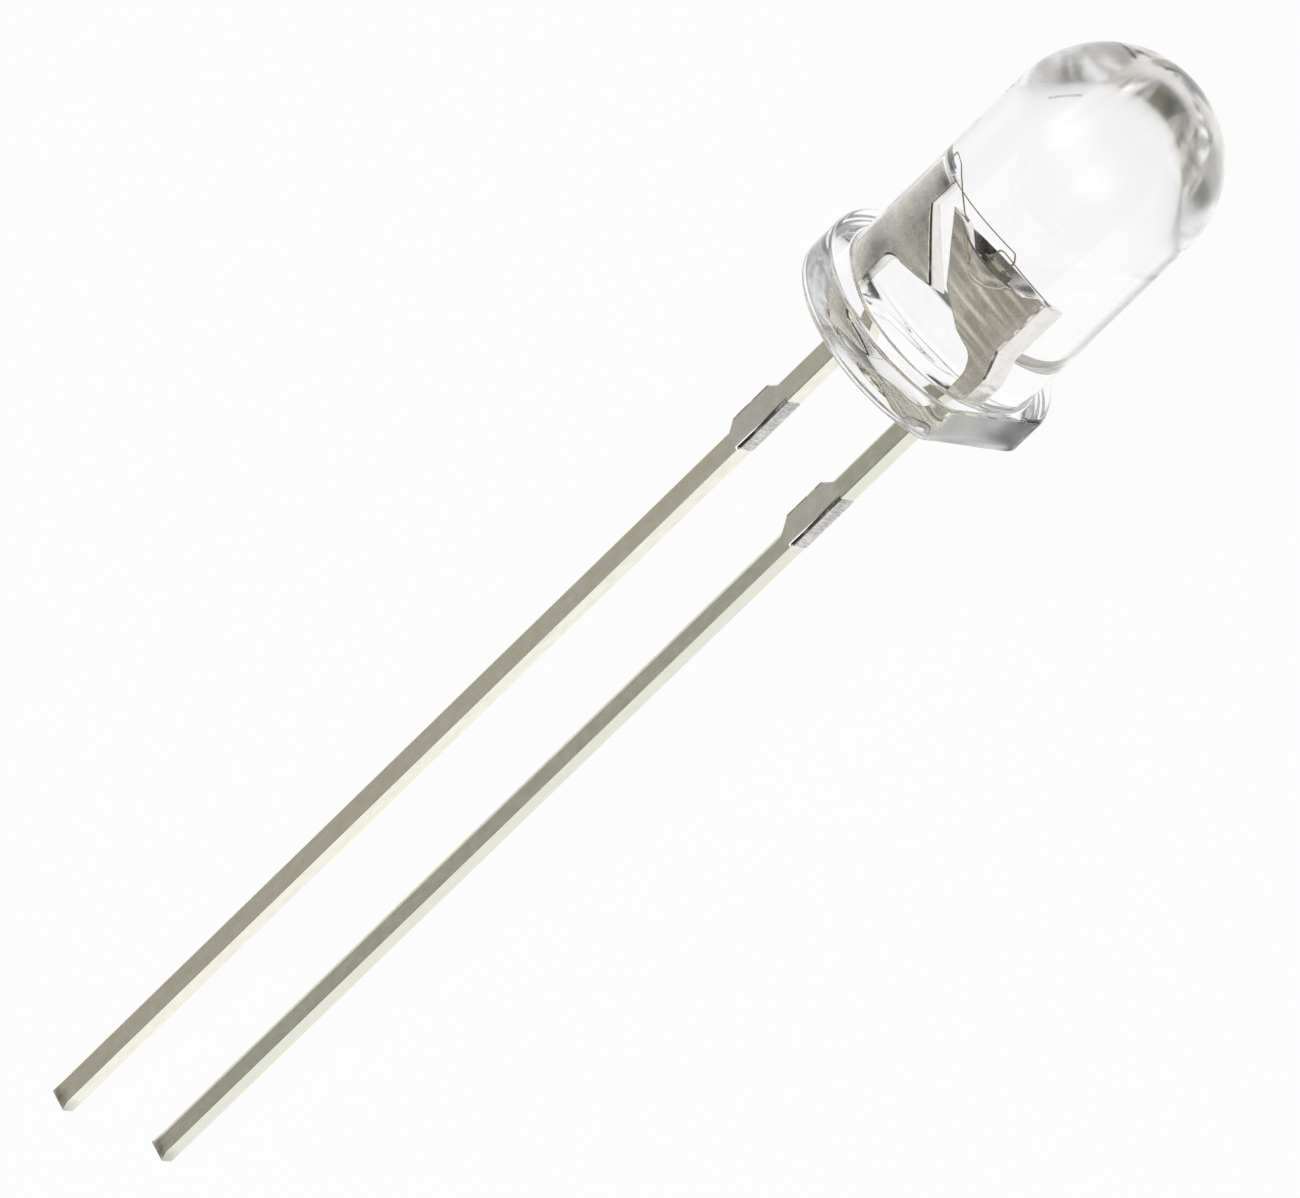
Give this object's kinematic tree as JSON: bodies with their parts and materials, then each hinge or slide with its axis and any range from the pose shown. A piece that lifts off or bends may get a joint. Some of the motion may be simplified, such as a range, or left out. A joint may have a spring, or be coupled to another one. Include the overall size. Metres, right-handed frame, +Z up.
{
  "type": "through-hole light-emitting diode",
  "caption": "Clear round LED with a domed lens, a flange with a polarity flat, and long square leads with stand-off tabs; lies on its side.",
  "frame": {"origin": "middle of the footprint of the LED as it lies, on the surface it lies on", "axes": "+X towards the dome along the surface, +Y towards the anode lead's side, +Z up; the lens axis rises 5.9 degrees from +X"},
  "size_m": [0.0354, 0.0056, 0.006],
  "materials": {
    "clear_epoxy": "water-clear cast epoxy, glossy",
    "tinned_steel": "bright tin plate, faintly drawn along the lead",
    "led_chip": "polished crystal",
    "silicon_chip": "dark polished silicon",
    "silver_adhesive": "matt silver-filled epoxy",
    "gold_wire": "drawn gold wire"
  },
  "bodies": {
    "root": {"lens": "clear_epoxy", "anode_lead": "tinned_steel", "cathode_lead": "tinned_steel", "led_die": "led_chip", "die_attach": "silver_adhesive", "protection_diode": "silicon_chip", "diode_attach": "silver_adhesive", "anode_wire": "gold_wire", "cathode_wire": "gold_wire", "diode_wire": "gold_wire"}
  },
  "joints": []
}
